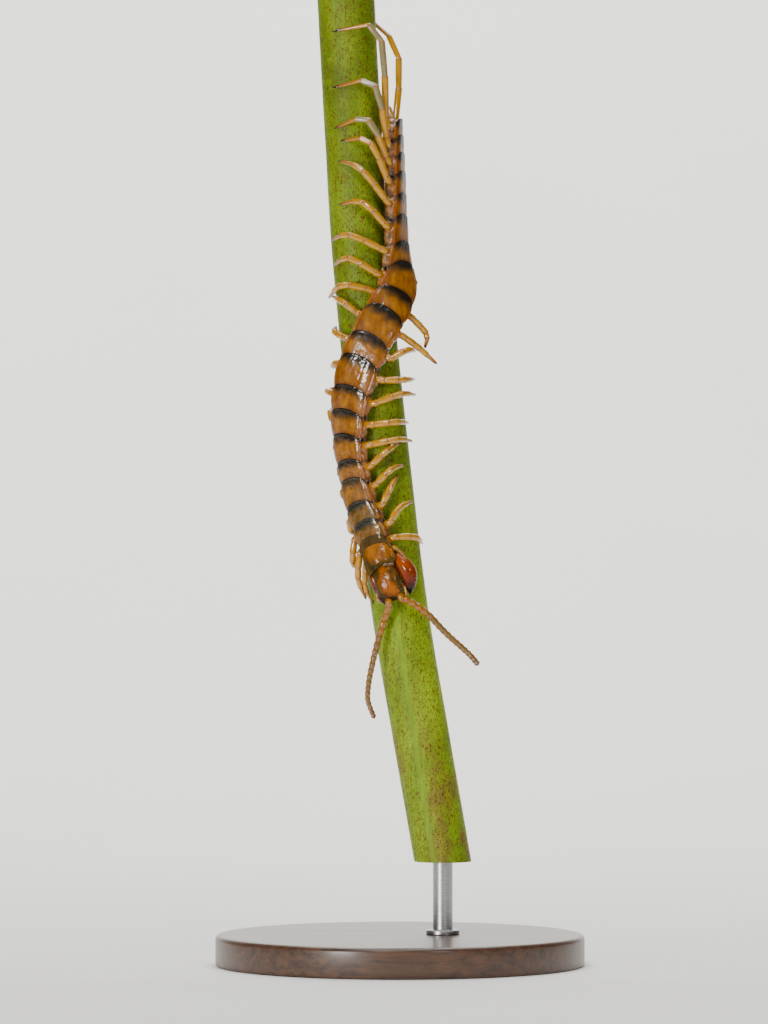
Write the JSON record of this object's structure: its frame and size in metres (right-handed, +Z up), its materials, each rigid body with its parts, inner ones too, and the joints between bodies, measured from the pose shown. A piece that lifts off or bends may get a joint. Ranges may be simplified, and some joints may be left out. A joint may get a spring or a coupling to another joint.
{
  "type": "giant centipede on a plant stem",
  "caption": "Life-size still model of a giant centipede winding head down round a cut green stem, held by a rod on a round display base.",
  "frame": {"origin": "middle of the underside of the display base", "axes": "+Z up along the stem, towards the animal's tail; +Y away from the side the animal is seen from; +X towards the side that the left-hand legs reach"},
  "size_m": [0.096, 0.096, 0.255],
  "materials": {
    "body_shell": "glossy amber to orange brown, each plate's hind edge black",
    "legs_and_feelers": "glossy translucent yellow tan, darker at the joints",
    "poison_claws": "polished red orange with near black tips",
    "eyes": "polished black",
    "plant_stem": "smooth waxy green rind with small brown specks",
    "stand_base": "satin, dark stained",
    "stand_rod": "satin"
  },
  "bodies": {
    "root": {"antenna_left": "legs_and_feelers", "antenna_right": "legs_and_feelers", "eyes_left": "eyes", "eyes_right": "eyes", "forcipule_left": "poison_claws", "forcipule_plate": "poison_claws", "forcipule_right": "poison_claws", "head": "body_shell", "leg_left_01": "legs_and_feelers", "leg_left_02": "legs_and_feelers", "leg_left_03": "legs_and_feelers", "leg_left_04": "legs_and_feelers", "leg_left_05": "legs_and_feelers", "leg_left_06": "legs_and_feelers", "leg_left_07": "legs_and_feelers", "leg_left_08": "legs_and_feelers", "leg_left_09": "legs_and_feelers", "leg_left_10": "legs_and_feelers", "leg_left_11": "legs_and_feelers", "leg_left_12": "legs_and_feelers", "leg_left_13": "legs_and_feelers", "leg_left_14": "legs_and_feelers", "leg_left_15": "legs_and_feelers", "leg_left_16": "legs_and_feelers", "leg_left_17": "legs_and_feelers", "leg_left_18": "legs_and_feelers", "leg_left_19": "legs_and_feelers", "leg_left_20": "legs_and_feelers", "leg_left_21": "legs_and_feelers", "leg_right_01": "legs_and_feelers", "leg_right_02": "legs_and_feelers", "leg_right_03": "legs_and_feelers", "leg_right_04": "legs_and_feelers", "leg_right_05": "legs_and_feelers", "leg_right_06": "legs_and_feelers", "leg_right_07": "legs_and_feelers", "leg_right_08": "legs_and_feelers", "leg_right_09": "legs_and_feelers", "leg_right_10": "legs_and_feelers", "leg_right_11": "legs_and_feelers", "leg_right_12": "legs_and_feelers", "leg_right_13": "legs_and_feelers", "leg_right_14": "legs_and_feelers", "leg_right_15": "legs_and_feelers", "leg_right_16": "legs_and_feelers", "leg_right_17": "legs_and_feelers", "leg_right_18": "legs_and_feelers", "leg_right_19": "legs_and_feelers", "leg_right_20": "legs_and_feelers", "leg_right_21": "legs_and_feelers", "stand_base": "stand_base", "stand_rod": "stand_rod", "stem": "plant_stem", "trunk_1": "body_shell", "trunk_2": "body_shell", "trunk_3": "body_shell", "trunk_4": "body_shell", "trunk_5": "body_shell"}
  },
  "joints": []
}
